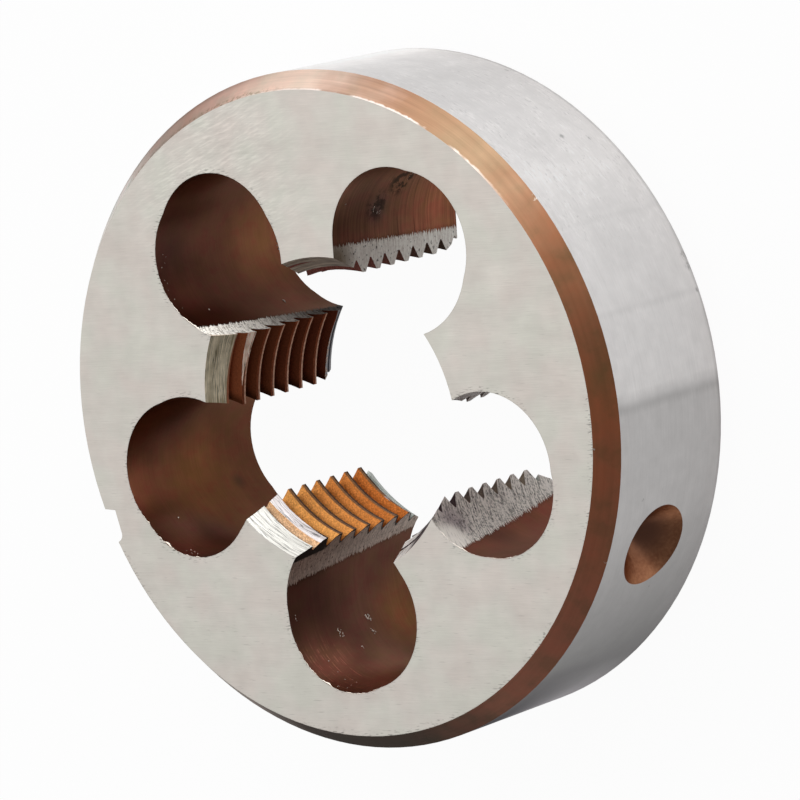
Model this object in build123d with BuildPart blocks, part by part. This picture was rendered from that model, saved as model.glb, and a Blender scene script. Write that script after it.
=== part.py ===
import os
from math import radians, tan

from build123d import *

# Blank: a turned disc, ground on the rim and on both faces
rim_diameter = 45.0
thickness = 14.0
rim_chamfer_width = 1.12    # taken off each face, along the radius
rim_chamfer_height = 1.49   # taken off the rim, along the axis
back_ring_width = 1.88      # the ring of the back face round its shallow recess
recess_depth = 0.9

# Thread: metric fine, right-handed, cut right through
thread_diameter = 20.0
thread_pitch = 1.5
flank_angle = 60.0
root_clearance = 0.05       # the groove runs this much outside the thread diameter
groove_height = 0.574       # height of the groove's middle above the back face, at angle 0

# Lead-in: a cone at each end cuts the first teeth back, relieved behind their cutting edges
front_lead_radius = 10.45
front_lead_angle = 25.0
back_lead_radius = 10.03    # in the floor of the recess
back_lead_angle = 27.0
lead_relief = 0.6           # each land's cone stands this far off the thread axis

# Chip holes: each is bored twice, side by side, and then ground towards the bore to sharpen the teeth
chip_hole_count = 5
first_hole_angle = -90.0
chip_hole_turns = (0.2, 0.3, 0.8, 1.0, -0.3)    # how far each hole is from its even place in the ring
chip_hole_setback = 3.96    # from the tooth tips out to the middles of the holes
chip_bore_radius = 4.95
chip_bore_offset = 0.57     # from the middle of the hole to the middles of its two bores
chip_bore_turns = (-37.0, 78.0)
ground_arc_radius = 5.25
ground_arc_setback = 3.65   # from the tooth tips out to the middles of the ground arcs
flat_ground_hole = 3        # counted from the first; one side of it is ground further back, to a flat
flat_start_turn = 23.1      # at the tooth tips, from the middle of that hole
flat_slant = 32.4
flat_length = 2.43

# Adjusting notch: ground across the rim outside the first chip hole
notch_depth = 2.07
notch_floor_width = 1.98
notch_shift = 3.16          # sideways from the axis to the middle of the floor
notch_turn = -95.67         # the direction in which the floor faces
notch_wall_angle = 16.0
notch_corner_radius = 0.5

# Screw seats: conical recesses in the rim for the points of the holder's screws
seat_diameter = 6.0
seat_cone_angle = 90.0
seat_height = 7.43          # from the back face to the middle of a seat
seat_angles = (46.63, -32.07, -142.07)

overrun = 1.0               # how far a cutter runs past the surface that it opens
groove_gap = 24.0           # angle at the middle of each chip hole that the thread groove skips

# Sizes that follow from those above
rim_radius = rim_diameter / 2
recess_radius = rim_radius - rim_chamfer_width - back_ring_width
half_flank = radians(flank_angle / 2)
sharp_thread_height = thread_pitch / 2 / tan(half_flank)
tip_radius = thread_diameter / 2 - 5 / 8 * sharp_thread_height
root_radius = thread_diameter / 2 + root_clearance
first_land_angle = first_hole_angle + 180 / chip_hole_count
flat_hole_angle = first_hole_angle + flat_ground_hole * 360 / chip_hole_count
seat_slope = tan(radians(seat_cone_angle / 2))
seat_depth = seat_diameter / 2 / seat_slope


def chip_bore_places():
    """The middles of the two bores of every chip hole."""
    places = []
    for hole, turn in enumerate(chip_hole_turns):
        hole_angle = first_hole_angle + hole * 360 / chip_hole_count + turn
        middle = Vector(tip_radius + chip_hole_setback, 0).rotate(Axis.Z, hole_angle)
        for bore_turn in chip_bore_turns:
            places.append(middle + Vector(chip_bore_offset, 0).rotate(Axis.Z, hole_angle + bore_turn))
    return places


def groove_half_width(radius):
    """Half the thread groove's width at a radius; at the thread diameter it is an eighth of the pitch wide."""
    return thread_pitch / 16 + (thread_diameter / 2 - radius) * tan(half_flank)


def groove_places():
    """The start of every length of groove: a stack on each land, climbing one pitch in a full turn."""
    places = []
    for land in range(chip_hole_count):
        land_angle = first_land_angle + land * 360 / chip_hole_count
        lowest = (groove_height + thread_pitch * land_angle / 360) % thread_pitch - thread_pitch
        for turn in range(int(thickness / thread_pitch) + 3):
            start = lowest + turn * thread_pitch - groove_rise / 2
            places.append(Location((0, 0, start), (0, 0, land_angle - groove_span / 2)))
    return places


def lead_cutter(mouth_radius, half_angle):
    """One land's share of a lead-in, about +X: a cone with its mouth at height 0, set off towards -Y."""
    slope = tan(radians(half_angle))
    inner_radius = tip_radius - 2 * lead_relief
    share = 180 / chip_hole_count
    reach = mouth_radius + 2 * overrun
    with BuildPart() as cutter:
        with BuildSketch(Plane.XZ.offset(lead_relief)):
            with BuildLine():
                Polyline(
                    (0, (inner_radius - mouth_radius) / slope),
                    (inner_radius, (inner_radius - mouth_radius) / slope),
                    (mouth_radius + overrun * slope, overrun),
                    (0, overrun),
                    close=True,
                )
            make_face()
        revolve(axis=Axis((0, -lead_relief, 0), (0, 0, 1)))
        with BuildSketch(Plane.XY.offset(overrun)):
            with BuildLine():
                Polyline(
                    (0, 0),
                    (reach, -reach * tan(radians(share))),
                    (reach, reach * tan(radians(share))),
                    close=True,
                )
            make_face()
        extrude(amount=-thickness, mode=Mode.INTERSECT)
    return cutter.part


# One land's length of the helical groove between the threads, starting on the X axis
groove_span = 360 / chip_hole_count - groove_gap
groove_rise = thread_pitch * groove_span / 360
groove_mouth_radius = tip_radius - thread_pitch / 8
with BuildPart() as thread_groove:
    with BuildLine() as groove_path:
        Helix(thread_pitch, groove_rise, root_radius)
    with BuildSketch(Plane.XZ):
        with BuildLine():
            Polyline(
                (groove_mouth_radius, -groove_half_width(groove_mouth_radius)),
                (root_radius, -groove_half_width(root_radius)),
                (root_radius, groove_half_width(root_radius)),
                (groove_mouth_radius, groove_half_width(groove_mouth_radius)),
                close=True,
            )
        make_face()
    sweep(path=groove_path.line, is_frenet=True)

front_lead = lead_cutter(front_lead_radius, front_lead_angle)
back_lead = lead_cutter(back_lead_radius, back_lead_angle)

with BuildPart() as die:
    # The blank, bored to the tooth tips
    with BuildSketch(Plane.XZ):
        with BuildLine():
            Polyline(
                (tip_radius, recess_depth),
                (recess_radius, recess_depth),
                (recess_radius, 0),
                (rim_radius - rim_chamfer_width, 0),
                (rim_radius, rim_chamfer_height),
                (rim_radius, thickness - rim_chamfer_height),
                (rim_radius - rim_chamfer_width, thickness),
                (tip_radius, thickness),
                close=True,
            )
        make_face()
    revolve(axis=Axis.Z)

    # The chip holes, open to the bore, with the arcs ground into them beside the teeth
    with BuildSketch():
        with Locations(chip_bore_places()):
            Circle(chip_bore_radius)
        with PolarLocations(tip_radius + ground_arc_setback, chip_hole_count, first_hole_angle):
            Circle(ground_arc_radius)
    extrude(amount=thickness, mode=Mode.SUBTRACT)

    # The flat that is ground on the side of one hole
    flat_start = Vector(tip_radius, 0).rotate(Axis.Z, flat_start_turn)
    flat_direction = Vector(1, 0).rotate(Axis.Z, flat_slant)
    with BuildSketch(Plane.XY.rotated((0, 0, flat_hole_angle))):
        with BuildLine():
            Polyline(
                flat_start - flat_direction * overrun,
                flat_start + flat_direction * flat_length,
                (tip_radius + chip_hole_setback, 0),
                (tip_radius - overrun, 0),
                close=True,
            )
        make_face()
    extrude(amount=thickness, mode=Mode.SUBTRACT)

    # The thread on the lands between the chip holes, and the lead-in that each land has at both ends
    with Locations(groove_places()):
        add(thread_groove.part, mode=Mode.SUBTRACT)
    with PolarLocations(0, chip_hole_count, first_land_angle):
        with Locations((0, 0, thickness)):
            add(front_lead, mode=Mode.SUBTRACT)
        with Locations(Location((0, 0, recess_depth), (180, 0, 0))):
            add(back_lead, mode=Mode.SUBTRACT)

    # The adjusting notch, one corner of its floor rounded by the grinding wheel
    floor_distance = rim_radius - notch_depth
    notch_reach = rim_radius + overrun
    notch_spread = (notch_reach - floor_distance) * tan(radians(notch_wall_angle))
    with BuildSketch(Plane.XY.rotated((0, 0, notch_turn))) as notch:
        with BuildLine():
            Polyline(
                (floor_distance, notch_shift - notch_floor_width / 2),
                (floor_distance, notch_shift + notch_floor_width / 2),
                (notch_reach, notch_shift + notch_floor_width / 2 + notch_spread),
                (notch_reach, notch_shift - notch_floor_width / 2 - notch_spread),
                close=True,
            )
        make_face()
        fillet(notch.vertices().group_by(Axis.X)[0].sort_by(Axis.Y)[-1], notch_corner_radius)
    extrude(amount=thickness, mode=Mode.SUBTRACT)

    # The screw seats
    for seat_angle in seat_angles:
        outward = Vector(1, 0, 0).rotate(Axis.Z, seat_angle)
        seat_bottom = outward * (rim_radius - seat_depth) + Vector(0, 0, seat_height)
        with Locations(Plane(seat_bottom, z_dir=outward)):
            Cone(
                bottom_radius=0,
                top_radius=seat_diameter / 2 + overrun * seat_slope,
                height=seat_depth + overrun,
                align=(Align.CENTER, Align.CENTER, Align.MIN),
                mode=Mode.SUBTRACT,
            )

os.makedirs("parts", exist_ok=True)
die.part.label = "die"
export_step(die.part, "parts/die.step")
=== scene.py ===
import math
import random

import bpy
import numpy as np
from mathutils import Matrix, Vector


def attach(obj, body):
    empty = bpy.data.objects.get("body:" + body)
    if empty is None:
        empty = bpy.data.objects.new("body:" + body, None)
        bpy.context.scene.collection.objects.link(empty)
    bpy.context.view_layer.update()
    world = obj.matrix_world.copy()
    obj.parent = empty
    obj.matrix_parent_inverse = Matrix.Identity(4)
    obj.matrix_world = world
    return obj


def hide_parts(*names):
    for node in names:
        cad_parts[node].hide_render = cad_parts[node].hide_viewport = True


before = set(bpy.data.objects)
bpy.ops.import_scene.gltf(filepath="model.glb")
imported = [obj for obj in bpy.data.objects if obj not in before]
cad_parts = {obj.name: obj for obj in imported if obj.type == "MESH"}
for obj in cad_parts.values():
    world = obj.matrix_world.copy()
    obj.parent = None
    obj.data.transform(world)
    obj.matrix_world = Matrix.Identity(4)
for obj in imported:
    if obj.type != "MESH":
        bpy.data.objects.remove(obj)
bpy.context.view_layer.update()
MM = 0.001

# Sizes of the die in millimetres and degrees, as in its source
THICKNESS = 14.0
RIM_RADIUS = 22.5
FACE_RADIUS = 21.38
CHAMFER_FOOT = 12.55        # a little above the height at which the front chamfer meets the rim
RECESS_RADIUS = 19.5
THREAD_RADIUS = 10.0
TIP_RADIUS = 9.188
ROOT_RADIUS = 10.05
HOLE_ANGLES = (-90.0, -18.0, 54.0, 126.0, 198.0)
HOLE_TURNS = (0.2, 0.3, 0.8, 1.0, -0.3)
LAND_ANGLES = (-54.0, 18.0, 90.0, 162.0, 234.0)
BORE_RING = 13.148          # from the axis to the middle of a chip hole, which is bored twice, side by side
BORE_RADIUS = 4.95
BORE_OFFSET = 0.57
BORE_TURNS = (-37.0, 78.0)
GROUND_RING = 12.838
GROUND_RADIUS = 5.25
CIRCLES_PER_HOLE = 3
PITCH = 1.5
GROOVE_HEIGHT = 0.574
FLANK_SLOPE = math.tan(math.radians(30.0))
LEAD_RADIUS = 10.45
LEAD_SLOPE = math.tan(math.radians(25.0))
FIRST_CONE = 12.0           # above this height a lead-in's cone hasn't yet reached the first groove
BACK_LEADS = 2.3            # below this height the cones belong to the lead-ins at the back
OUTER_PART = 19.0           # the holes and lands lie inside this radius
SEATS = (46.63, -32.07, -142.07)
SEAT_HEIGHT = 7.43
SEAT_RADIUS = 3.0

# The direction in which the front face is ground, and that of the scratches across it
GRIND_DEGREES = 72.8
SCRATCH_DEGREES = 92.0

# How much of the plain white shows on the floor to the camera and in reflections, and the studio's grey
FLOOR_SEEN = 0.96
FLOOR_MIRRORED = 0.4
FLOOR_REACH = 1.5
WORLD_MIRRORED = 0.1
WORLD_GREY = (0.12, 0.12, 0.12)

WHITE = (1.0, 1.0, 1.0)


class Graph:
    """A material's node tree, with short ways to add the nodes used here."""

    def __init__(self, name):
        self.material = bpy.data.materials.new(name)
        self.material.use_nodes = True
        self.tree = self.material.node_tree
        self.tree.nodes.clear()
        self._place = None

    def node(self, kind, inputs=None, **props):
        made = self.tree.nodes.new(kind)
        for key, value in props.items():
            setattr(made, key, value)
        for key, value in (inputs or {}).items():
            self.put(made.inputs[key], value)
        return made

    def put(self, socket, value):
        if isinstance(value, bpy.types.NodeSocket):
            self.tree.links.new(value, socket)
        elif isinstance(value, (tuple, list)) and socket.type == "RGBA" and len(value) == 3:
            socket.default_value = (*value, 1.0)
        else:
            socket.default_value = value

    def math(self, operation, a, b=0.0):
        return self.node("ShaderNodeMath", {0: a, 1: b}, operation=operation).outputs[0]

    def add(self, a, b):
        return self.math("ADD", a, b)

    def sub(self, a, b):
        return self.math("SUBTRACT", a, b)

    def mul(self, a, b):
        return self.math("MULTIPLY", a, b)

    def most(self, a, b):
        return self.math("MAXIMUM", a, b)

    def least(self, a, b):
        return self.math("MINIMUM", a, b)

    def off(self, value, middle):
        """How far a value is from a middle, either way."""
        return self.math("ABSOLUTE", self.sub(value, middle))

    def wander(self, noise, reach):
        """A noise made to swing about 0."""
        return self.mul(self.sub(noise, 0.5), reach)

    def place(self):
        """The point in millimetres in the part's own frame, as x, y, z."""
        if self._place is None:
            point = self.node("ShaderNodeTexCoord").outputs["Object"]
            scaled = self.node("ShaderNodeVectorMath", {0: point, "Scale": 1 / MM}, operation="SCALE").outputs[0]
            self._place = tuple(self.node("ShaderNodeSeparateXYZ", {0: scaled}).outputs)
        return self._place

    def polar(self):
        """The point as its radius, its angle in radians and its height."""
        x, y, z = self.place()
        radius = self.math("SQRT", self.add(self.mul(x, x), self.mul(y, y)))
        return radius, self.math("ARCTAN2", y, x), z

    def turned(self, degrees):
        """Distances along and across a direction in the plane of the front face, and the height."""
        x, y, z = self.place()
        turn = math.radians(degrees)
        along = self.add(self.mul(x, math.cos(turn)), self.mul(y, math.sin(turn)))
        across = self.sub(self.mul(y, math.cos(turn)), self.mul(x, math.sin(turn)))
        return along, across, z

    def vector(self, x, y, z=0.0):
        return self.node("ShaderNodeCombineXYZ", {0: x, 1: y, 2: z}).outputs[0]

    def distance(self, point, centre):
        return self.node("ShaderNodeVectorMath", {0: point, 1: centre}, operation="DISTANCE").outputs["Value"]

    def grain(self, x, y, z=0.0, detail=2.0, rough=0.5, distortion=0.0):
        made = self.node("ShaderNodeTexNoise", {"Vector": self.vector(x, y, z), "Scale": 1.0, "Detail": detail,
                                                "Roughness": rough, "Distortion": distortion})
        return made.outputs[0]

    def closer(self, point, closeness, shift=0.0, **noise):
        """Noise at a point, with so many features to a millimetre along each of its axes."""
        first, second, third = (self.mul(value, close) for value, close in zip(point, closeness))
        return self.grain(first, second, self.add(third, shift), **noise)

    def even(self, closeness, **noise):
        """Noise that is alike in all directions."""
        return self.closer(self.place(), (closeness,) * 3, **noise)

    def span(self, value, low, high, to_low=0.0, to_high=1.0, smooth=False):
        made = self.node("ShaderNodeMapRange", {0: value, 1: low, 2: high, 3: to_low, 4: to_high}, clamp=True,
                         interpolation_type="SMOOTHSTEP" if smooth else "LINEAR")
        return made.outputs[0]

    def ramp(self, value, *stops):
        made = self.node("ShaderNodeValToRGB", {0: value})
        ramp = made.color_ramp
        while len(ramp.elements) < len(stops):
            ramp.elements.new(0.5)
        for element, (position, colour) in zip(ramp.elements, stops):
            element.position = position
            element.color = (*colour, 1.0)
        return made.outputs[0]

    def mix(self, factor, a, b, blend="MIX"):
        made = self.node("ShaderNodeMix", data_type="RGBA", blend_type=blend, clamp_factor=True)
        self.put(made.inputs[0], factor)
        self.put(made.inputs[6], a)
        self.put(made.inputs[7], b)
        return made.outputs[2]

    def tint(self, colour, by, mask=1.0):
        """A colour multiplied by another where a mask is 1."""
        return self.mix(mask, colour, by, "MULTIPLY")

    def shade(self, colour, gain):
        """A colour made lighter or darker by a number."""
        return self.node("ShaderNodeVectorMath", {0: colour, "Scale": gain}, operation="SCALE").outputs[0]

    def vary(self, colour, noise, low, high):
        """A colour made from low to high times as light by a noise."""
        return self.shade(colour, self.span(noise, 0.3, 0.7, low, high))

    def darken(self, colour, mask, share):
        return self.shade(colour, self.sub(1.0, self.mul(mask, share)))

    def lighten(self, colour, mask, share):
        return self.shade(colour, self.add(1.0, self.mul(mask, share)))

    def spot(self, centre, radius, soft=1.0):
        """1 at a point, falling to 0 at a radius."""
        gap = self.distance(self.vector(*self.place()), centre)
        return self.span(gap, radius, radius * (1 - soft), smooth=True)

    def bump(self, height, distance, strength):
        return self.node("ShaderNodeBump", {"Height": height, "Distance": distance * MM,
                                            "Strength": strength}).outputs[0]

    def metal(self, colour, rough, normal=None, metallic=1.0, glance=WHITE):
        """Metal, glance being the tint of what it mirrors at a glancing angle."""
        made = self.node("ShaderNodeBsdfPrincipled", {"Base Color": colour, "Roughness": rough, "Metallic": metallic,
                                                      "Specular Tint": glance})
        if normal is not None:
            self.put(made.inputs["Normal"], normal)
        return made.outputs[0]

    def blend(self, factor, first, second):
        return self.node("ShaderNodeMixShader", {0: factor, 1: first, 2: second}).outputs[0]

    def done(self, shader):
        self.tree.links.new(shader, self.node("ShaderNodeOutputMaterial").inputs[0])
        return self.material


def polar_point(radius, degrees):
    return radius * math.cos(math.radians(degrees)), radius * math.sin(math.radians(degrees))


def hole_middle(hole):
    return polar_point(BORE_RING, HOLE_ANGLES[hole] + HOLE_TURNS[hole])


def bore_circles():
    """The circles that outline the chip holes, as x, y and radius, CIRCLES_PER_HOLE for each."""
    circles = []
    for hole, (angle, turn) in enumerate(zip(HOLE_ANGLES, HOLE_TURNS)):
        x, y = hole_middle(hole)
        for bore in BORE_TURNS:
            dx, dy = polar_point(BORE_OFFSET, angle + turn + bore)
            circles.append((x + dx, y + dy, BORE_RADIUS))
        circles.append((*polar_point(GROUND_RING, angle), GROUND_RADIUS))
    return circles


def hole_gap(g):
    """The distance from the nearest chip hole, across the front face."""
    x, y, _ = g.place()
    nearest = None
    for cx, cy, radius in bore_circles():
        gap = g.sub(g.distance(g.vector(x, y), (cx, cy, 0)), radius)
        nearest = gap if nearest is None else g.least(nearest, gap)
    return nearest


def face_steel(name):
    """Ground flat: fine straight strokes, faint bands and clouds, and burrs pulled over the edges."""
    g = Graph(name)
    x, y, _ = g.place()
    along, across, _ = g.turned(GRIND_DEGREES)
    flat = (along, across, 0.0)
    fine = g.closer(flat, (0.6, 13.0, 0.0), rough=0.6)
    broad = g.closer(flat, (0.15, 1.1, 0.0))
    cloud = g.closer(flat, (0.16, 0.16, 0.0), 2.0, detail=3.0)
    tone = g.add(g.mul(fine, 0.4), g.add(g.mul(broad, 0.3), g.mul(cloud, 0.3)))
    colour = g.ramp(tone, (0.32, (0.60, 0.575, 0.53)), (0.68, (0.74, 0.715, 0.665)))
    hue = g.closer(flat, (0.3, 0.3, 0.0), 7.0)
    colour = g.tint(colour, g.ramp(hue, (0.36, (0.985, 1.0, 0.975)), (0.5, (1.0, 0.985, 0.975)),
                                   (0.64, (1.0, 0.955, 0.95))))
    colour = g.vary(colour, g.closer(flat, (0.7, 0.7, 0.0), 12.0, detail=3.0), 0.955, 1.03)
    # Painted shade: the face darker towards -y and +x
    painted_falloff = g.add(g.span(y, 12.0, -18.0, 0.0, 0.05), g.span(x, 0.0, 20.0, 0.0, 0.03))
    colour = g.shade(colour, g.sub(0.95, painted_falloff))
    # Dark dashes, mostly on the half away from the last two chip holes
    dashes = g.closer(flat, (0.9, 9.0, 0.0), 4.0, detail=1.0)
    low = g.add(0.2, g.mul(g.span(x, -12.0, 10.0), 0.8))
    colour = g.darken(colour, g.mul(g.span(dashes, 0.67, 0.76), low), 0.18)
    # Scratches across the strokes, beside the last chip hole
    slant, beside, _ = g.turned(SCRATCH_DEGREES)
    cross = g.closer((slant, beside, 0.0), (0.9, 6.5, 0.0), 9.0, distortion=0.3)
    region = g.mul(g.spot((-17.5, -2.0, THICKNESS), 11.0), g.span(cloud, 0.4, 0.55, 0.5, 1.0))
    colour = g.lighten(colour, g.mul(g.span(cross, 0.5, 0.64), region), 0.17)
    colour = g.darken(colour, g.mul(g.span(cross, 0.42, 0.34), region), 0.08)
    # Burrs and nicks beside the chip holes and along part of the outer edge
    rim_gap = g.add(g.sub(FACE_RADIUS, g.polar()[0]), g.span(x, 4.0, -3.0))
    gap = g.least(hole_gap(g), rim_gap)
    ticks = g.closer(flat, (2.2, 11.0, 0.0), 3.0, detail=1.0)
    patchy = g.closer(flat, (0.25, 0.25, 0.0), 5.0, detail=1.0)
    clean = g.spot((*polar_point(BORE_RING, HOLE_ANGLES[3]), THICKNESS), 8.0, 0.3)
    tick = g.mul(g.mul(g.span(ticks, 0.58, 0.66), g.span(gap, 0.05, 0.5, 1.0, 0.0)),
                 g.mul(g.span(patchy, 0.42, 0.55), g.sub(1.0, clean)))
    colour = g.darken(colour, tick, 0.62)
    colour = g.darken(colour, g.span(gap, 0.0, 0.10, 1.0, 0.0), 0.10)
    colour = g.lighten(colour, g.spot((-3.6, 17.2, THICKNESS), 1.8), 0.07)
    return g.done(g.metal(colour, g.span(tone, 0.3, 0.7, 0.44, 0.52), g.bump(fine, 0.004, 0.8)))


# Painted light and shade: how light the rim is at angles round the die, as shares of RIM_LIGHTNESS
RIM_LIGHTNESS = 1.3
RIM_PAINTED_LIGHT = (
    (-180, 0.88), (-90, 0.77), (-30, 0.62), (-8, 0.5), (8, 0.43), (20, 0.27), (25, 0.33), (31, 0.42), (41, 0.53),
    (53, 0.67), (72.2, 0.65), (74.2, 0.86), (98, 0.89), (113, 0.97), (128, 0.89), (142, 0.79), (153, 0.85),
    (162, 1.08), (180, 0.88),
)
# Painted dark reflection bands straight across the rim: the angle, the half width in degrees and the strength
RIM_REFLECTION_BANDS = ((71.9, 1.5, 0.13), (87.4, 1.0, 0.05), (103.0, 0.8, 0.035))
# Specks on the rim: the angle, the height and the radius
RIM_SPECKS = (
    (119.75, 5.5, 0.3), (118.0, 3.2, 0.22), (112.0, 8.4, 0.2), (56.0, 9.8, 0.16), (38.0, 6.15, 0.12),
    (93.4, 1.7, 0.45), (91.5, 1.7, 0.4), (87.4, 1.7, 0.25), (139.3, 2.0, 0.3),
)


def round_ramp(g, degrees, table):
    """A table of colours at angles from -180 to 180 degrees, made into a ramp."""
    return g.ramp(g.span(degrees, -180.0, 180.0), *(((place + 180) / 360, colour) for place, colour in table))


def rim_steel(name):
    """Ground round: lines along the circumference, painted light and shade round it, a painted dark reflection band
    across it and pits.
    """
    g = Graph(name)
    place = g.place()
    _, angle, z = g.polar()
    degrees = g.mul(angle, 180 / math.pi)
    fine = g.closer(place, (0.4, 0.4, 9.0), detail=3.0, rough=0.6)
    broad = g.closer(place, (0.3, 0.3, 0.4), detail=3.0)
    tone = g.add(g.mul(fine, 0.5), g.mul(broad, 0.5))
    colour = g.ramp(tone, (0.32, (0.70, 0.682, 0.675)), (0.68, (0.80, 0.782, 0.775)))
    # Painted light and shade round the rim
    painted_rim_light = [(turn, (gain,) * 3) for turn, gain in RIM_PAINTED_LIGHT]
    colour = g.tint(colour, round_ramp(g, g.add(degrees, g.wander(broad, 1.2)), painted_rim_light))
    colour = g.shade(colour, RIM_LIGHTNESS)
    # Painted reflections: dark bands across the rim
    for middle, reach, strength in RIM_REFLECTION_BANDS:
        away = g.off(degrees, g.add(middle, g.wander(fine, 1.0)))
        colour = g.darken(colour, g.span(away, reach, 0.0, smooth=True), strength)
    # Beside the chamfer, where the rim turns away from the light, it's darker
    low_end = g.mul(g.span(degrees, -50.0, -20.0), g.span(degrees, 24.0, 6.0))
    shaded = g.mul(g.span(z, 4.5, 11.0), low_end)
    colour = g.darken(colour, shaded, 0.80)
    colour = g.tint(colour, (1.0, 0.96, 1.02), low_end)
    blotch = g.even(0.9, detail=4.0, rough=0.6)
    colour = g.vary(colour, blotch, 0.955, 1.03)
    strokes = g.closer(place, (2.0, 2.0, 6.0), detail=3.0, rough=0.65, distortion=0.6)
    region = g.mul(g.mul(g.span(degrees, 92.0, 105.0), g.span(degrees, 165.0, 140.0)), g.span(blotch, 0.42, 0.55))
    colour = g.lighten(colour, g.mul(g.span(strokes, 0.56, 0.64), region), 0.10)
    colour = g.darken(colour, g.mul(g.span(strokes, 0.42, 0.34), region), 0.16)
    back = g.mul(g.span(g.add(z, g.mul(fine, 0.3)), 1.95, 1.75), g.span(degrees, 40.0, 80.0))
    colour = g.darken(colour, back, 0.22)
    for turn, height, reach in RIM_SPECKS:
        speck = g.mul(g.spot((*polar_point(RIM_RADIUS, turn), height), reach, 0.8), g.span(strokes, 0.55, 0.45))
        colour = g.darken(colour, speck, 0.4)
    normal = g.bump(fine, 0.004, 0.8)
    rough = g.span(tone, 0.3, 0.7, 0.4, 0.5)
    bright = g.metal(colour, rough, normal)
    # Painted shade: a dark glance where the rim is shaded
    shaded_metal = g.metal(colour, rough, normal, glance=(0.34, 0.33, 0.36))
    return g.done(g.blend(g.mul(shaded, 0.8), bright, shaded_metal))


# The chamfer's colours at angles round the die: partly its heat colours, partly painted light and shade
HEAT_TINT_AND_PAINTED_LIGHT = (
    (-180, (0.56, 0.37, 0.31)), (-174, (0.42, 0.265, 0.21)), (-165, (0.42, 0.30, 0.265)), (-158, (0.57, 0.51, 0.48)),
    (-152, (0.80, 0.80, 0.79)), (-138, (0.84, 0.82, 0.80)), (-60, (0.36, 0.30, 0.27)), (-42, (0.13, 0.10, 0.09)),
    (-25, (0.04, 0.028, 0.028)), (-8, (0.055, 0.038, 0.032)), (6, (0.14, 0.07, 0.05)), (20, (0.31, 0.13, 0.085)),
    (40, (0.43, 0.165, 0.10)), (75, (0.53, 0.19, 0.09)), (90, (0.43, 0.185, 0.095)), (100, (0.29, 0.13, 0.066)),
    (111, (0.34, 0.18, 0.105)), (121, (0.41, 0.27, 0.165)), (130, (0.37, 0.225, 0.135)), (140, (0.37, 0.21, 0.13)),
    (150, (0.50, 0.345, 0.27)), (160, (0.76, 0.58, 0.48)), (170, (0.78, 0.58, 0.48)), (180, (0.56, 0.37, 0.31)),
)
# Bright nicks in the chamfer's edges: the point and the size
CHAMFER_NICKS = (
    ((*polar_point(22.4, 109.5), CHAMFER_FOOT), 0.17), ((*polar_point(22.46, 46.7), CHAMFER_FOOT), 0.13),
    ((*polar_point(21.42, 66.0), THICKNESS), 0.12),
)


def copper_scale(name):
    """The chamfers: turned, and coloured partly by the heat treatment and partly by painted light and shade, from
    light copper to nearly black.
    """
    g = Graph(name)
    place = g.place()
    radius, angle, z = g.polar()
    degrees = g.mul(angle, 180 / math.pi)
    lines = g.closer(place, (0.08, 0.08, 4.5), detail=3.0, rough=0.6)
    patch = g.even(0.4, detail=3.0)
    # Painted light and shade round the die, on top of the heat colours
    colour = round_ramp(g, g.add(degrees, g.wander(patch, 16.0)), HEAT_TINT_AND_PAINTED_LIGHT)
    top = g.mul(g.span(degrees, 100.0, 125.0), g.span(degrees, 178.0, 165.0))
    colour = g.lighten(colour, g.span(lines, 0.3, 0.7, -1.0, 1.0), g.add(0.05, g.mul(top, 0.10)))
    mottle = g.even(0.6, detail=4.0, rough=0.55)
    stained = g.tint(colour, g.ramp(mottle, (0.36, (0.80, 0.92, 0.90)), (0.5, WHITE), (0.64, (1.10, 1.0, 1.0))))
    colour = g.mix(g.sub(0.9, g.mul(top, 0.6)), colour, stained)
    colour = g.tint(colour, (0.74, 0.97, 0.92), g.spot((*polar_point(21.9, 78.0), 13.2), 1.6))
    far_end = g.most(g.span(degrees, 165.0, 175.0), g.span(degrees, -140.0, -150.0))
    colour = g.darken(colour, g.mul(g.span(z, 12.95, 12.6), far_end), 0.35)
    # A cream line, and further on olive specks, along the inner edge
    inner = g.add(radius, g.wander(g.closer(place, (2.0, 2.0, 0.0)), 0.2))
    cream = g.mul(g.span(inner, FACE_RADIUS + 0.09, FACE_RADIUS + 0.03), g.mul(top, g.span(degrees, 108.0, 120.0)))
    colour = g.mix(g.mul(g.mul(cream, g.span(patch, 0.36, 0.46)), 0.8), colour, (0.94, 0.84, 0.78))
    flecks = g.even(3.5)
    upper = g.most(g.span(degrees, 162.0, 172.0), g.span(degrees, -148.0, -158.0))
    olive = g.mul(g.mul(g.span(inner, FACE_RADIUS + 0.34, FACE_RADIUS + 0.12), upper), g.span(flecks, 0.5, 0.58))
    colour = g.tint(colour, (0.52, 0.50, 0.40), g.mul(olive, 0.75))
    for point, size in CHAMFER_NICKS:
        nick = g.mul(g.spot(point, size * 1.6, 0.6), g.span(flecks, 0.5, 0.56))
        colour = g.mix(nick, colour, (0.95, 0.88, 0.80))
    normal = g.bump(lines, 0.004, 0.8)
    bright = g.metal(colour, 0.36, normal, glance=(0.84, 0.78, 0.72))
    shaded_metal = g.metal(colour, 0.36, normal, glance=(0.20, 0.16, 0.16))
    # Painted shade: towards the bottom the chamfer mirrors a dark glance instead of white
    black = g.mul(g.span(degrees, -55.0, -32.0), g.span(degrees, 25.0, -32.0, 0.0, 0.72))
    return g.done(g.blend(black, bright, shaded_metal))


def thread_turns(g):
    """The share of the pitch that a point is up from a groove's middle: 0.5 is the middle of a crest."""
    _, angle, z = g.polar()
    turns = g.sub(g.math("DIVIDE", g.sub(z, GROOVE_HEIGHT), PITCH), g.math("DIVIDE", angle, 2 * math.pi))
    return g.math("FRACT", g.add(turns, 20.0))


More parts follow.
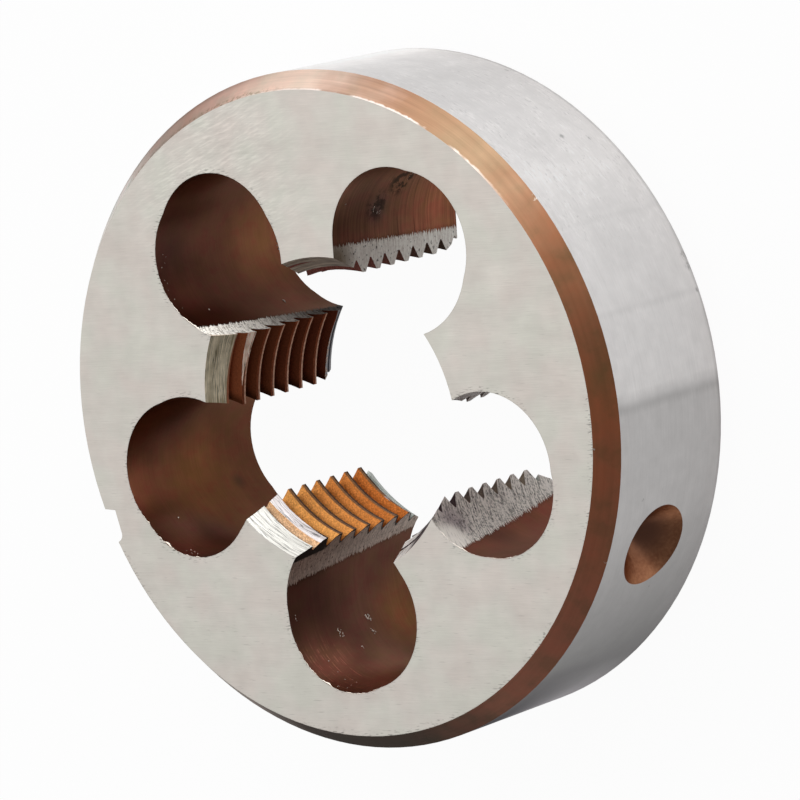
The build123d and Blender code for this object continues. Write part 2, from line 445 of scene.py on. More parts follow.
def tooth_gap(g, relief):
    """How far out a point of a cutting face lies from the teeth's outline, given the lead-in's relief there."""
    radius, _, z = g.polar()
    share = thread_turns(g)
    up = g.mul(g.least(share, g.sub(1.0, share)), PITCH)
    outline = g.sub(THREAD_RADIUS, g.math("DIVIDE", g.sub(up, PITCH / 16), FLANK_SLOPE))
    outline = g.least(g.most(outline, TIP_RADIUS), ROOT_RADIUS)
    lead = g.sub(LEAD_RADIUS + relief, g.mul(g.sub(THICKNESS, z), LEAD_SLOPE))
    return g.sub(radius, g.most(outline, lead))


# The ground strip beside a land's teeth. It ends at start plus slope for each millimetre of height. Its strokes
# have a slant and a closeness, and run from dark to light between two stops. fade gives two heights, and how light
# the strip is at each. tints are patches, as a point, a radius and a colour. relief is the lead-in's at this face.
# line is the width of a line along the teeth, line_front what is added to it at the front, line_share its strength
# and line_colour its colour. corner is a distance, a height, a slope and a lowest height: nearer the axis than that
# slanted edge, and above the lowest height, all has line_colour.
PLAIN_STRIP = {
    "start": 10.0, "slope": 0.10, "slant": -0.2, "closeness": 10.0,
    "dark": (0.30, 0.29, 0.28), "light": (0.95, 0.93, 0.90), "stops": (0.38, 0.60), "fade": (0.0, 1.0, 1.0, 1.0),
    "tints": (), "relief": 0.23, "line": 0.0, "line_front": 0.0, "line_share": 0.0,
    "line_colour": (0.04, 0.035, 0.03), "corner": None,
}


def cutting_face(g, hole, along, look):
    """The ground strip beside the teeth of a land: its colour, its strokes and how far inside its edge a point is."""
    z = g.place()[2]
    look = {**PLAIN_STRIP, **look}
    slanted = g.sub(z, g.mul(along, look["slant"]))
    strokes = g.grain(g.mul(slanted, look["closeness"]), g.mul(along, 0.9), hole * 3.0, detail=3.0, rough=0.65)
    grit = g.grain(g.mul(z, 9.0), g.mul(along, 7.0), hole * 2.0 + 0.5, detail=1.0)
    pits = g.grain(g.mul(z, 5.0), g.mul(along, 4.0), 6.0, detail=1.0)
    tone = g.add(g.mul(strokes, 0.65), g.mul(grit, 0.35))
    colour = g.ramp(tone, (look["stops"][0], look["dark"]), (look["stops"][1], look["light"]))
    colour = g.shade(colour, g.span(g.add(z, g.mul(strokes, 2.0)), *look["fade"]))
    for point, reach, tint in look["tints"]:
        colour = g.tint(colour, tint, g.spot(point, reach, 0.8))
    colour = g.darken(colour, g.span(pits, 0.64, 0.72), 0.8)
    gap = g.add(tooth_gap(g, look["relief"]), g.wander(strokes, 0.25))
    width = g.add(look["line"], g.mul(g.span(z, 11.3, FIRST_CONE), look["line_front"]))
    colour = g.mix(g.mul(g.span(g.sub(gap, width), 0.05, -0.05), look["line_share"]), colour, look["line_colour"])
    if look["corner"]:
        at, height, slope, low = look["corner"]
        inside = g.sub(g.add(at, g.mul(g.sub(z, height), slope)), g.add(along, g.wander(strokes, 0.2)))
        colour = g.mix(g.mul(g.span(inside, -0.05, 0.05), g.span(z, low, low + 0.4)), colour, look["line_colour"])
    edge = g.add(look["start"], g.mul(z, look["slope"]))
    return colour, strokes, g.add(g.sub(edge, along), g.span(strokes, 0.3, 0.7, -0.22, 0.22))


def hole_scale(name, hole, before=None, after=None, lines=0.06, depth=0.02, lean=0.0, pale=None,
               arcs=(), blots=(), scores=()):
    """A chip hole: brown scale on the bored wall, and ground strips beside the teeth before and after the hole.

    lines is the strength of the tool's rings on the wall, depth that of the strips' strokes, lean how far their
    facets lean towards the front, pale a cream patch on a strip, as a point and a radius, and arcs, blots and
    scores are marks on the wall.
    """
    g = Graph(name)
    along, across, z = g.turned(HOLE_ANGLES[hole])
    upright = (z, across, along)
    rings = g.grain(g.mul(z, 8.0), g.mul(across, 0.3), hole * 7.0, rough=0.6)
    patch = g.closer((across, z, along), (0.4, 0.35, 0.4), hole * 5.0, detail=3.0)
    brown, tints = WALLS_AND_PAINTED_LIGHT[hole]
    # Patches of the scale's own colour and of painted light and shade
    for point, reach, colour in tints:
        brown = g.mix(g.spot(point, reach), brown, colour)
    brown = g.vary(brown, patch, 0.86, 1.14)
    brown = g.vary(brown, rings, 1.0 - lines, 1.0 + lines)
    for point, reach in arcs:
        dashed = g.mul(g.spot(point, reach, 0.6), g.span(g.closer(g.place(), (1.6, 1.6, 1.0)), 0.47, 0.56))
        brown = g.lighten(brown, g.mul(dashed, g.span(rings, 0.54, 0.62)), 0.8)
    for point, reach, soft, strength in blots:
        blot = g.span(g.closer(upright, (1.8, 1.8, 1.8), detail=4.0, rough=0.65), 0.46, 0.53)
        brown = g.darken(brown, g.mul(g.spot(point, reach, soft), blot), strength)
    for height, width, strength in scores:
        drift = g.off(g.sub(z, height), g.mul(g.sub(along, 12.0), 0.083))
        brown = g.darken(brown, g.mul(g.span(drift, width, 0.0), g.span(patch, 0.35, 0.5)), strength)
    hue = g.closer(upright, (0.8, 0.9, 0.9), 3.0, detail=3.0, rough=0.6)
    brown = g.tint(brown, g.ramp(hue, (0.36, (1.03, 0.88, 0.95)), (0.5, WHITE), (0.64, (0.96, 1.03, 0.93))))
    side = g.math("GREATER_THAN", across, 0.0)
    steel_before, strokes, reach_before = cutting_face(g, hole, along, before or {})
    steel_after, _, reach_after = cutting_face(g, hole, along, after or {})
    steel = g.mix(side, steel_before, steel_after)
    reach = g.add(g.mul(side, reach_after), g.mul(g.sub(1.0, side), reach_before))
    # A dark line along the strip's outer edge, where the scale ends
    brown = g.shade(brown, g.span(reach, -0.25, 0.0, 1.0, 0.55))
    wall = g.metal(brown, 0.36, g.bump(rings, 0.003, 0.8), glance=(0.88, 0.76, 0.68))
    metallic = 1.0
    if pale:
        # Near the front the strip is rough enough to look cream from every side
        matt = g.spot(*pale, 0.6)
        steel = g.mix(matt, steel, g.ramp(strokes, (0.37, (0.66, 0.62, 0.57)), (0.45, (1.0, 0.95, 0.88))))
        metallic = g.sub(1.0, matt)
    facets = g.sub(g.mul(strokes, depth), g.mul(z, lean))
    strip = g.metal(steel, 0.6, g.bump(facets, 1.0, 0.9), metallic=metallic)
    return g.done(g.blend(g.span(reach, -0.03, 0.03), wall, strip))


def thread_scale(name, front, back, speck=0.5, glance=WHITE, first=None, sliver=None, bare=None, shaded_end=False):
    """A land's thread flanks, speckled, and coloured partly by the heat treatment and partly by painted light and
    shade.

    first makes the first flank lighter with painted light, sliver is the colour of its upper part, and bare gives
    the height, the radius and the colour of what the lead-in cut.
    """
    g = Graph(name)
    z = g.place()[2]
    grain = g.even(9.0, detail=3.0, rough=0.7)
    forward = g.span(g.add(z, g.mul(g.even(0.8), 4.0)), 5.0, 13.0)
    colour = g.vary(g.mix(forward, back, front), grain, 1.0 - speck, 1.0 + speck)
    if sliver:
        colour = g.mix(g.span(z, 11.6, 12.2), colour, g.shade(sliver, g.span(grain, 0.35, 0.65, 0.45, 1.3)))
    # Painted light on the first flank
    if first:
        colour = g.shade(colour, g.span(z, 10.8, 11.3, 1.0, first))
    if shaded_end:
        colour = g.shade(colour, g.span(first_hole_gap(g), 0.15, 0.6, 0.3, 1.0))
    if bare:
        height, radius, steel = bare
        cut = g.mul(g.span(z, height - 0.05, height + 0.05), g.span(g.polar()[0], radius + 0.03, radius - 0.03))
        colour = g.mix(cut, colour, g.vary(steel, grain, 0.85, 1.1))
    return g.done(g.metal(colour, 0.38, g.bump(grain, 0.012, 0.9), glance=glance))


def first_hole_gap(g):
    """The distance from the first chip hole, at which the red land ends."""
    x, y, _ = g.place()
    return g.sub(g.distance(g.vector(x, y), (0.0, -GROUND_RING, 0.0)), GROUND_RADIUS)


def crest_metal(name, colour, line, share, glance=WHITE):
    """The narrow flats on top of the teeth, with a line of another colour on a share of their width at the back."""
    g = Graph(name)
    grain = g.even(6.0)
    back = 0.4375 + 0.125 * share
    turns = g.add(thread_turns(g), g.wander(grain, 0.03))
    mixed = g.mix(g.span(turns, back + 0.006, back - 0.006), colour, line)
    return g.done(g.metal(g.vary(mixed, grain, 0.7, 1.3), 0.42, glance=glance))


def lead_steel(name, dark, light, patches=0.0, stops=(0.34, 0.6), metallic=1.0, hairs=0.0, lean=0.0, tail=None,
               scale=None, second=None):
    """A lead-in cone, with streaks along the cut and stains.

    patches is the share of the stains in its tone, hairs the strength of fine dark lines, tail the angles over
    which it turns to a shadow's colour, scale the heights to which scale runs up it at the land's start and end,
    with its colour, and second a tint for the cone's part below FIRST_CONE.
    """
    g = Graph(name)
    radius, angle, z = g.polar()
    degrees = g.mul(angle, 180 / math.pi)
    streaks = g.closer((z, angle, radius), (7.0, 3.0, 2.0), detail=3.0, rough=0.6)
    stains = g.grain(g.mul(z, 1.2), g.mul(angle, 9.0), 5.0, detail=3.0)
    tone = g.add(g.mul(streaks, 1.0 - patches), g.mul(stains, patches))
    colour = g.ramp(tone, (stops[0], dark), (stops[1], light))
    if second:
        colour = g.tint(colour, second, g.span(z, FIRST_CONE + 0.05, FIRST_CONE - 0.1))
    if tail:
        start, end, shadow = tail
        colour = g.mix(g.span(g.add(degrees, g.wander(stains, 6.0)), start, end), colour, shadow)
    if scale:
        at_start, at_end, red = scale
        bound = g.span(degrees, -139.0, -112.0, at_start, at_end)
        scaled = g.mul(g.span(g.sub(bound, z), -0.02, 0.02), g.math("GREATER_THAN", z, FIRST_CONE))
        colour = g.mix(scaled, colour, g.vary(red, streaks, 0.8, 1.2))
    if hairs:
        bend = g.grain(z, g.mul(angle, 4.0), 2.0)
        fine = g.grain(g.add(g.mul(z, 8.0), g.mul(bend, 4.0)), g.mul(angle, 2.0), 9.0)
        colour = g.darken(colour, g.span(g.off(fine, 0.5), 0.03, 0.0), hairs)
    normal = g.bump(g.sub(g.mul(streaks, 0.012), g.mul(z, lean)), 1.0, 0.8)
    return g.done(g.metal(colour, 0.48, normal, metallic=metallic))


def seat_scale(name):
    """The screw seats: drilled cones with brown scale, a painted shadow and a painted patch of light."""
    g = Graph(name)
    fine = g.even(5.0, detail=3.0)
    tone = g.add(g.mul(g.even(0.9, detail=4.0, rough=0.6), 0.6), g.mul(fine, 0.4))
    colour = g.ramp(tone, (0.36, (0.26, 0.105, 0.055)), (0.64, (0.42, 0.19, 0.10)))
    # Painted shadow in the seat, then a painted patch of light
    colour = g.mix(g.spot((14.5, 15.3, 6.4), 2.2, 0.8), colour, (0.19, 0.085, 0.055))
    colour = g.lighten(colour, g.spot((17.0, 14.2, 7.3), 2.0), 0.25)
    return g.done(g.metal(colour, 0.36, g.bump(fine, 0.01, 0.7), glance=(0.84, 0.68, 0.58)))


def plain_metal(name, colour, rough):
    g = Graph(name)
    return g.done(g.metal(g.vary(colour, g.even(4.0), 0.8, 1.2), rough))


# The brown scale of each chip hole: its colour, and patches where it is darker, lighter, redder or more ochre, partly
# the scale's own colour and partly painted light and shade
WALLS_AND_PAINTED_LIGHT = (
    ((0.19, 0.078, 0.042), (
        ((-4.0, -17.0, 9.5), 4.5, (0.14, 0.060, 0.042)),
        ((-0.2, -18.5, 7.4), 5.6, (0.25, 0.100, 0.043)),
        ((-0.3, -18.5, 13.2), 3.4, (0.30, 0.100, 0.054)),
        ((4.5, -16.4, 11.6), 4.4, (0.46, 0.21, 0.155)),
        ((3.9, -17.0, 9.2), 2.5, (0.19, 0.080, 0.057)),
        ((4.6, -16.2, 12.8), 2.6, (0.62, 0.29, 0.22)),
        ((0.8, -18.4, 3.5), 0.9, (0.13, 0.06, 0.036)),
    )),
    ((0.155, 0.070, 0.048), (
        ((10.5, -9.0, 11.0), 5.0, (0.095, 0.040, 0.030)),
        ((13.5, -9.4, 2.5), 4.5, (0.25, 0.108, 0.048)),
        ((16.2, -8.0, 12.0), 5.0, (0.34, 0.132, 0.085)),
        ((18.2, -4.6, 11.8), 5.0, (0.58, 0.26, 0.18)),
        ((16.3, -8.1, 6.8), 3.0, (0.27, 0.130, 0.083)),
        ((17.0, -7.2, 9.2), 2.4, (0.50, 0.22, 0.15)),
        ((17.2, -6.8, 10.9), 2.2, (0.56, 0.25, 0.175)),
    )),
    ((0.225, 0.075, 0.049), (
        ((11.2, 6.6, 9.7), 2.5, (0.15, 0.050, 0.036)),
        ((14.5, 8.2, 13.8), 2.2, (0.24, 0.105, 0.055)),
    )),
    ((0.20, 0.090, 0.055), (
        ((-11.9, 6.9, 11.5), 4.5, (0.10, 0.045, 0.030)),
        ((-10.9, 6.0, 2.5), 5.5, (0.42, 0.16, 0.088)),
        ((-11.5, 6.4, 9.4), 1.6, (0.085, 0.050, 0.046)),
    )),
    ((0.155, 0.063, 0.040), (
        ((-14.5, -9.2, 12.6), 3.6, (0.095, 0.040, 0.030)),
        ((-13.9, -9.3, 3.0), 5.4, (0.34, 0.142, 0.070)),
        ((-10.5, -9.2, 12.6), 3.2, (0.22, 0.076, 0.052)),
        ((-9.0, -8.1, 3.6), 3.0, (0.20, 0.080, 0.050)),
    )),
)

# The strips that the camera sees, by the number of their hole: before holes 1 and 2, and after holes 3 and 4
STRIP_1 = {
    # Its black line along the teeth and its corner are painted shadow
    "start": 9.85, "slope": 0.115, "dark": (0.36, 0.295, 0.255), "light": (0.70, 0.60, 0.53), "relief": -0.23,
    "line": 0.20, "line_front": 0.2, "line_share": 0.97, "corner": (9.75, 12.6, 0.12, 10.7),
}
STRIP_2 = {
    "start": 10.05, "slope": 0.145, "slant": 0.5, "dark": (0.26, 0.24, 0.22), "light": (1.0, 0.96, 0.91),
    "stops": (0.38, 0.53), "tints": (((9.8, 4.5, 12.2), 2.2, (0.50, 0.43, 0.49)),),
}
STRIP_3 = {
    "start": 9.64, "slope": 0.041, "slant": 0.0, "dark": (0.78, 0.74, 0.69), "light": (1.0, 0.99, 0.94),
    # The tint is a painted shadow at the front end of the strip
    "tints": (((-9.0, 4.8, 13.9), 2.7, (0.33, 0.28, 0.22)),),
}
STRIP_4 = {
    "start": 9.25, "slope": 0.11, "slant": -0.9, "closeness": 6.5, "dark": (0.46, 0.415, 0.36),
    "light": (1.0, 0.97, 0.91), "stops": (0.39, 0.52), "fade": (4.0, 10.5, 0.28, 1.0), "line": 0.06,
    "line_share": 0.6, "line_colour": (0.60, 0.46, 0.34),
}
ZONES = {
    "face": face_steel("ground_face"),
    "back": plain_metal("ground_back", (0.62, 0.60, 0.57), 0.5),
    "rim": rim_steel("ground_rim"),
    "chamfer": copper_scale("copper_chamfer"),
    "notch": plain_metal("notch_steel", (0.55, 0.53, 0.50), 0.5),
    "recess": plain_metal("recess_scale", (0.22, 0.12, 0.07), 0.45),
    "seat": seat_scale("brown_seat"),
    "hole 0": hole_scale("brown_hole_0", 0),
    "hole 1": hole_scale("brown_hole_1", 1, before=STRIP_1, arcs=(((15.6, -8.4, 12.2), 3.4),)),
    "hole 2": hole_scale("brown_hole_2", 2, before=STRIP_2, depth=0.05, pale=((10.5, 6.1, 13.5), 1.9)),
    "hole 3": hole_scale("brown_hole_3", 3, after=STRIP_3, lines=0.28,
                         scores=((5.55, 0.10, 0.6), (7.3, 0.09, 0.5), (4.6, 0.06, 0.3), (8.3, 0.06, 0.3)),
                         blots=(((-12.75, 7.9, 7.7), 1.6, 0.5, 0.9), ((-11.7, 6.6, 9.6), 1.5, 0.7, 0.7))),
    "hole 4": hole_scale("brown_hole_4", 4, after=STRIP_4, depth=0.07, lean=0.95),
    # The threads are one metal on every land; their colours differ from land to land by painted light and shade, as
    # the crests' and lead-ins' partly do
    "thread 0": thread_scale("lit_gold_thread", (0.52, 0.235, 0.065), (0.44, 0.13, 0.028),
                             bare=(11.4, 9.52, (0.64, 0.60, 0.605)), sliver=(0.58, 0.37, 0.22)),
    "thread 1": thread_scale("shaded_thread", (0.07, 0.045, 0.05), (0.40, 0.33, 0.25)),
    "thread 2": thread_scale("shaded_thread_far", (0.10, 0.08, 0.07), (0.10, 0.08, 0.07)),
    "thread 3": thread_scale("shaded_thread_top", (0.22, 0.075, 0.06), (0.10, 0.08, 0.06)),
    "thread 4": thread_scale("shaded_red_thread", (0.20, 0.056, 0.023), (0.15, 0.037, 0.018), speck=0.2,
                             glance=(0.6, 0.38, 0.3), first=1.9, shaded_end=True),
    "crest 0": crest_metal("crest_gold", (0.36, 0.17, 0.07), (0.09, 0.05, 0.03), 0.35),
    "crest 3": plain_metal("crest_rust", (0.34, 0.13, 0.10), 0.45),
    # On this land the line along the back of the crests is a painted highlight
    "crest 4": crest_metal("crest_red", (0.14, 0.045, 0.025), (0.44, 0.26, 0.19), 0.33, (0.5, 0.32, 0.26)),
    "lead 0": lead_steel("bright_lead", (0.66, 0.645, 0.60), (0.95, 0.94, 0.89), hairs=0.8, lean=0.22,
                         second=(1.05, 1.0, 1.06)),
    "lead 1": lead_steel("tailed_lead", (0.40, 0.37, 0.35), (1.0, 0.96, 0.92), patches=0.3, metallic=0.3, hairs=0.4,
                         tail=(11.5, 16.0, (0.05, 0.045, 0.055))),
    "lead 3": lead_steel("streaked_lead", (0.14, 0.10, 0.08), (0.75, 0.68, 0.56), patches=0.3),
    "lead 4": lead_steel("stained_lead", (0.40, 0.33, 0.20), (0.95, 0.84, 0.63), patches=0.35, stops=(0.38, 0.58),
                         metallic=0.0, hairs=0.85, lean=0.2, tail=(-111.5, -110.0, (0.10, 0.075, 0.05)),
                         scale=(12.3, 12.62, (0.36, 0.125, 0.06)), second=(1.5, 1.3, 1.45)),
    "back lead 4": lead_steel("shaded_back_lead", (0.14, 0.13, 0.14), (0.34, 0.34, 0.36)),
}
PLAIN_ZONES = {
    "crest": plain_metal("crest_dark", (0.12, 0.085, 0.075), 0.45),
    "lead": lead_steel("dark_lead", (0.16, 0.14, 0.10), (0.46, 0.42, 0.34), patches=0.4),
    "back lead": lead_steel("back_lead", (0.40, 0.44, 0.40), (0.72, 0.76, 0.72)),
}
for zone, material in PLAIN_ZONES.items():
    for land in range(len(LAND_ANGLES)):
        ZONES.setdefault("%s %d" % (zone, land), material)


def number_of(x, y, angles):
    """Which of some angles round the die a point is nearest to, by its number."""
    angle = math.degrees(math.atan2(y, x))
    return min(range(len(angles)), key=lambda number: abs((angle - angles[number] + 180) % 360 - 180))


def in_seat(x, y, z):
    """Whether a point at the rim is within the mouth of a screw seat."""
    for seat in SEATS:
        turn = math.atan2(y, x) - math.radians(seat)
        turn = (turn + math.pi) % (2 * math.pi) - math.pi
        if math.hypot(turn * RIM_RADIUS, z - SEAT_HEIGHT) < SEAT_RADIUS * 1.01:
            return True
    return False


def zone_of(centre, normal):
    """Which of the die's surfaces a triangle belongs to, from its place and its normal."""
    x, y, z = centre / MM
    radius = math.hypot(x, y)
    outward = (normal[0] * x + normal[1] * y) / max(radius, 1e-6)
    upright = abs(normal[2])
    if z > THICKNESS - 0.005 and normal[2] > 0.99:
        return "face"
    if normal[2] < -0.99:
        return "back"
    if radius > OUTER_PART:
        if outward < 0.98 and in_seat(x, y, z):
            return "seat"
        if outward > 0.995:
            return "rim"
        if outward > 0.7 and upright > 0.4:
            return "chamfer"
        return "notch" if radius > RECESS_RADIUS + 0.1 else "recess"
    if upright < 0.02 and not (outward < -0.9 and radius < 10.1):
        return "hole %d" % number_of(x, y, HOLE_ANGLES)
    land = number_of(x, y, LAND_ANGLES)
    if z < BACK_LEADS:
        return "back lead %d" % land
    if upright < 0.02:
        return "crest %d" % land
    if upright > 0.75:
        return "thread %d" % land
    return "lead %d" % land


def soften_walls(mesh, zones):
    """Smooths the normals round each chip hole's wall, where its two bores meet in a crease."""
    normals = np.array([tuple(corner.vector) for corner in mesh.corner_normals])
    points = np.array([tuple(vertex.co) for vertex in mesh.vertices]) / MM
    for hole in range(len(HOLE_ANGLES)):
        loops = [loop for polygon in mesh.polygons if zones[polygon.index] == "hole %d" % hole
                 for loop in polygon.loop_indices]
        if not loops:
            continue
        loops = np.array(loops)
        flat = points[[mesh.loops[int(loop)].vertex_index for loop in loops]][:, :2]
        keys = np.round(flat, 2)
        places, first = np.unique(keys, axis=0, return_index=True)
        there = normals[loops[first]][:, :2]
        for loop, place in zip(loops, flat):
            gap = np.linalg.norm(places - place, axis=1)
            own = normals[loop][:2]
            weight = np.exp(-(gap / 0.55) ** 2) * (there @ own > 0.8)
            blended = weight @ there
            size = np.linalg.norm(blended)
            if size > 1e-6:
                normals[loop] = (blended[0] / size, blended[1] / size, 0.0)
    mesh.normals_split_custom_set([tuple(normal) for normal in normals])


def make_body():
    """The die itself: the CAD's own surfaces, each with the material of its zone."""
    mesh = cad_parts["die"].data.copy()
    mesh.name = "die_body"
    mesh.materials.clear()
    names = list(ZONES)
    for name in names:
        mesh.materials.append(ZONES[name])
    zones = []
    for polygon in mesh.polygons:
        zone = zone_of(np.array(polygon.center), np.array(polygon.normal))
        zones.append(zone)
        polygon.material_index = names.index(zone)
    soften_walls(mesh, zones)
    body = bpy.data.objects.new("die_body", mesh)
    bpy.context.scene.collection.objects.link(body)
    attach(body, "root")
    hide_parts("die")


def hole_edge(hole, degrees, inset):
    """The point of a chip hole's outline that lies in a direction from the hole's middle, moved in by an inset."""
    x, y = hole_middle(hole)
    dx, dy = polar_point(1.0, degrees)
    reach = 0.0
    for cx, cy, radius in bore_circles()[CIRCLES_PER_HOLE * hole:CIRCLES_PER_HOLE * (hole + 1)]:
        run = (cx - x) * dx + (cy - y) * dy
        off = (cx - x) ** 2 + (cy - y) ** 2 - run ** 2
        reach = max(reach, run + math.sqrt(radius ** 2 - off))
    return x + dx * (reach - inset), y + dy * (reach - inset)


def make_piece(name, verts, faces, material):
    """A piece with flat faces that rides on the die, from points in millimetres."""
    mesh = bpy.data.meshes.new(name)
    mesh.from_pydata([Vector(vert) * MM for vert in verts], [], faces)
    mesh.materials.append(material)
    mesh.update()
    for polygon in mesh.polygons:
        polygon.use_smooth = False
    piece = bpy.data.objects.new(name, mesh)
    bpy.context.scene.collection.objects.link(piece)
    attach(piece, "root")


def add_ridge(verts, faces, points, sizes):
    """A ragged ridge with a square section standing on its corner, along points, pointed at both ends."""
    first = len(verts)
    for index, ((x, y, z), size) in enumerate(zip(points, sizes)):
        before = points[max(index - 1, 0)]
        after = points[min(index + 1, len(points) - 1)]
        length = math.hypot(after[0] - before[0], after[1] - before[1])
        nx, ny = (before[1] - after[1]) / length, (after[0] - before[0]) / length
        for side, rise in ((1, 0), (0, 1), (-1, 0), (0, -1)):
            verts.append((x + nx * side * size, y + ny * side * size, z + rise * size))
    for index in range(len(points) - 1):
        for side in range(4):
            a = first + index * 4 + side
            b = first + index * 4 + (side + 1) % 4
            faces.append((a, b, b + 4, a + 4))
    last = first + (len(points) - 1) * 4
    faces.append((first + 3, first + 2, first + 1, first))
    faces.append((last, last + 1, last + 2, last + 3))


# Each burr's hole, the directions from the hole's middle in which it starts and ends, and its thickness
BURRS = (
    (4, 240.0, 262.0, 0.03), (4, 258.0, 300.0, 0.04), (4, 297.0, 318.0, 0.055),
    (0, -98.0, -72.0, 0.03), (0, -74.0, -52.0, 0.045), (0, -53.0, -30.0, 0.075), (0, -31.0, -16.0, 0.045),
    (1, -92.0, -62.0, 0.035), (1, -64.0, -36.0, 0.05), (1, -35.0, 5.0, 0.03),
    (2, -68.0, -30.0, 0.045), (2, -33.0, 22.0, 0.03),
)
BURR_STEP = 1.2             # degrees between two points of a burr


def make_burrs():
    """Bright burrs that the grinding left hanging in the mouths of the chip holes."""
    dice = random.Random(7)
    verts, faces = [], []
    for hole, start, end, thick in BURRS:
        steps = max(8, int(abs(end - start) / BURR_STEP))
        wander = 0.0
        points, sizes = [], []
        for step in range(steps + 1):
            share = step / steps
            wander = 0.6 * wander + dice.uniform(-1.4, 1.2)
            size = thick * max(0.12, 0.55 + 0.35 * wander) * min(1.0, 6 * share + 0.05, 6 * (1 - share) + 0.05)
            x, y = hole_edge(hole, start + (end - start) * share, size * 0.8)
            points.append((x, y, THICKNESS - size * 1.02))
            sizes.append(size)
        add_ridge(verts, faces, points, sizes)
    make_piece("edge_burrs", verts, faces, lead_steel("burr_steel", (0.60, 0.52, 0.43), (0.90, 0.83, 0.75)))


# Each trail's hole, middle, number of flakes, reach round the wall in degrees, reach in height, and largest flake
FLAKES = (
    (1, (13.0, -9.4, 6.2), 9, 2.6, 0.22, 0.17), (1, (13.85, -9.3, 6.3), 7, 3.5, 0.16, 0.12),
    (1, (13.3, -9.4, 9.4), 10, 3.2, 0.20, 0.13), (1, (14.7, -9.0, 8.2), 3, 1.5, 0.08, 0.09),
    (1, (14.85, -9.0, 12.0), 1, 0.2, 0.02, 0.20), (1, (11.75, -9.3, 13.3), 3, 6.0, 0.05, 0.09),
    (1, (16.6, -7.6, 12.7), 8, 14.0, 0.9, 0.05), (4, (-9.9, -8.8, 11.2), 1, 0.1, 0.01, 0.20),
    (4, (-9.1, -8.2, 4.4), 2, 1.0, 0.08, 0.16), (4, (-13.1, -9.5, 1.5), 3, 4.0, 0.1, 0.14),
    (4, (-12.5, -9.6, 13.2), 9, 22.0, 0.4, 0.07), (0, (2.1, -18.0, 11.1), 2, 1.0, 0.06, 0.14),
    (0, (4.6, -16.2, 13.2), 6, 8.0, 0.3, 0.08), (3, (-11.4, 6.3, 9.5), 8, 3.0, 0.4, 0.11),
    (3, (-12.1, 6.9, 13.1), 2, 1.0, 0.1, 0.10), (3, (-12.8, 8.0, 7.0), 4, 4.0, 0.3, 0.09),
    (2, (12.9, 9.6, 8.0), 6, 6.0, 0.9, 0.08),
)
FLAKE_CORNERS = 6


def add_flake(verts, faces, dice, centre, turn, size):
    """A ragged flake flat on a wall whose outward direction is given by its turn, with a low point on each side."""
    x, y, z = centre
    ux, uy = polar_point(1.0, turn + 90.0)
    ix, iy = polar_point(1.0, turn + 180.0)
    first = len(verts)
    for corner in range(FLAKE_CORNERS):
        bend = corner * 2 * math.pi / FLAKE_CORNERS + dice.uniform(-0.35, 0.35)
        out = size * dice.uniform(0.5, 1.0)
        side = out * math.cos(bend)
        verts.append((x + ux * side, y + uy * side, z + out * math.sin(bend) * 0.7))
    verts.append((x + ix * size * 0.35, y + iy * size * 0.35, z))
    verts.append((x - ix * size * 0.5, y - iy * size * 0.5, z))
    inner, outer = first + FLAKE_CORNERS, first + FLAKE_CORNERS + 1
    for corner in range(FLAKE_CORNERS):
        after = (corner + 1) % FLAKE_CORNERS
        faces.append((first + corner, first + after, inner))
        faces.append((first + after, first + corner, outer))


def make_flakes():
    """Bright specks stuck to the walls of the chip holes, in short trails round the wall."""
    dice = random.Random(11)
    verts, faces = [], []
    for hole, (x, y, z), count, run, rise, largest in FLAKES:
        mx, my = hole_middle(hole)
        middle = math.degrees(math.atan2(y - my, x - mx))
        for _ in range(count):
            turn = middle + dice.uniform(-run, run)
            height = z + dice.uniform(-rise, rise)
            size = largest * dice.uniform(0.45, 1.0)
            add_flake(verts, faces, dice, (*hole_edge(hole, turn, size * 0.15), height), turn, size)
    steel = lead_steel("flake_steel", (0.60, 0.50, 0.42), (1.0, 0.90, 0.82), metallic=0.3)
    make_piece("wall_flakes", verts, faces, steel)


def make_floor():
    """A white sheet. The camera sees it almost evenly white, with a trace of the shadow, and metal sees it too."""
    g = Graph("floor_white")
    lit = g.node("ShaderNodeBsdfDiffuse", {"Color": (0.85, 0.85, 0.85)}).outputs[0]
    white = g.node("ShaderNodeEmission", {"Color": WHITE, "Strength": 1.0}).outputs[0]
    path = g.node("ShaderNodeLightPath").outputs
    mirrored = g.most(path["Is Glossy Ray"], path["Is Transmission Ray"])
    share = g.most(g.mul(path["Is Camera Ray"], FLOOR_SEEN), g.mul(mirrored, FLOOR_MIRRORED))
    g.done(g.blend(share, lit, white))
    mesh = bpy.data.meshes.new("floor")
    corners = [(x * FLOOR_REACH, y * FLOOR_REACH, 0) for x, y in ((-1, -1), (1, -1), (1, 1), (-1, 1))]
    mesh.from_pydata(corners, [], [(0, 1, 2, 3)])
    mesh.materials.append(g.material)
    floor = bpy.data.objects.new("floor", mesh)
    bpy.context.scene.collection.objects.link(floor)


def area_light(name, place, size, watts):
    """A rectangular lamp that faces the middle of the die."""
    data = bpy.data.lights.new(name, "AREA")
    data.shape = "RECTANGLE"
    data.size, data.size_y = size
    data.energy = watts
    lamp = bpy.data.objects.new(name, data)
    lamp.location = place
    lamp.rotation_mode = "QUATERNION"
    middle = Vector((0.0, 0.0, THICKNESS / 2 * MM))
    lamp.rotation_quaternion = (middle - Vector(place)).to_track_quat("-Z", "Y")
    bpy.context.scene.collection.objects.link(lamp)


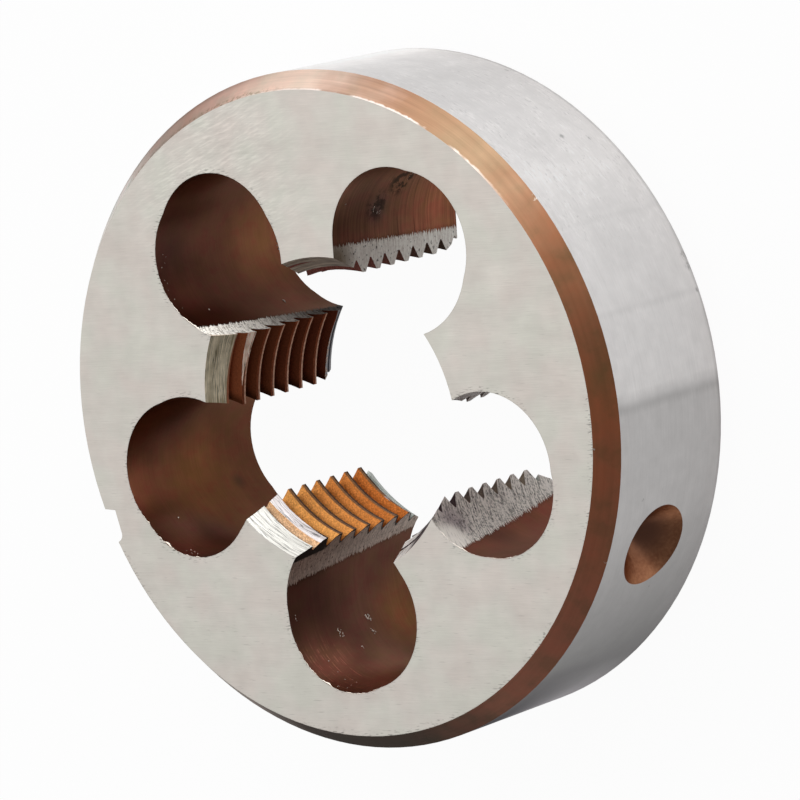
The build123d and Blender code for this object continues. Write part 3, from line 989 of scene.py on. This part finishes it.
def make_world():
    """A grey studio all round, white where the camera looks past the floor."""
    world = bpy.data.worlds.new("studio")
    bpy.context.scene.world = world
    world.use_nodes = True
    tree = world.node_tree
    tree.nodes.clear()
    background = tree.nodes.new("ShaderNodeBackground")
    output = tree.nodes.new("ShaderNodeOutputWorld")
    path = tree.nodes.new("ShaderNodeLightPath")
    mix = tree.nodes.new("ShaderNodeMix")
    mix.data_type = "RGBA"
    mix.inputs[6].default_value = (*WORLD_GREY, 1.0)
    mix.inputs[7].default_value = (*WHITE, 1.0)
    mirrored, share, most = (tree.nodes.new("ShaderNodeMath") for _ in range(3))
    mirrored.operation, share.operation, most.operation = "MAXIMUM", "MULTIPLY", "MAXIMUM"
    tree.links.new(path.outputs["Is Glossy Ray"], mirrored.inputs[0])
    tree.links.new(path.outputs["Is Transmission Ray"], mirrored.inputs[1])
    tree.links.new(mirrored.outputs[0], share.inputs[0])
    share.inputs[1].default_value = WORLD_MIRRORED
    tree.links.new(path.outputs["Is Camera Ray"], most.inputs[0])
    tree.links.new(share.outputs[0], most.inputs[1])
    tree.links.new(most.outputs[0], mix.inputs[0])
    tree.links.new(mix.outputs[2], background.inputs[0])
    tree.links.new(background.outputs[0], output.inputs[0])


def make_camera():
    """The camera looks down on the die from the +Y side, as the photo does."""
    data = bpy.data.cameras.new("camera")
    data.sensor_width = 36.0
    data.lens = 228.36
    data.clip_start, data.clip_end = 0.01, 10.0
    camera = bpy.data.objects.new("camera", data)
    place = Vector((21.602, 214.138, 264.589)) * MM
    right = Vector((0.34846, 0.70716, -0.61522))
    down = Vector((0.93519, -0.30659, 0.17728))
    forward = right.cross(down)
    facing = Matrix((right, -down, -forward)).transposed().to_4x4()
    camera.matrix_world = Matrix.Translation(place) @ facing
    bpy.context.scene.collection.objects.link(camera)
    bpy.context.scene.camera = camera


make_body()
make_burrs()
make_flakes()
make_floor()
area_light("key", (-0.42, 0.10, 0.26), (1.3, 0.7), 4.6)
area_light("top", (-0.03, -0.35, 0.42), (0.5, 0.5), 0.8)
make_world()
make_camera()
bpy.context.scene.view_settings.view_transform = "Standard"
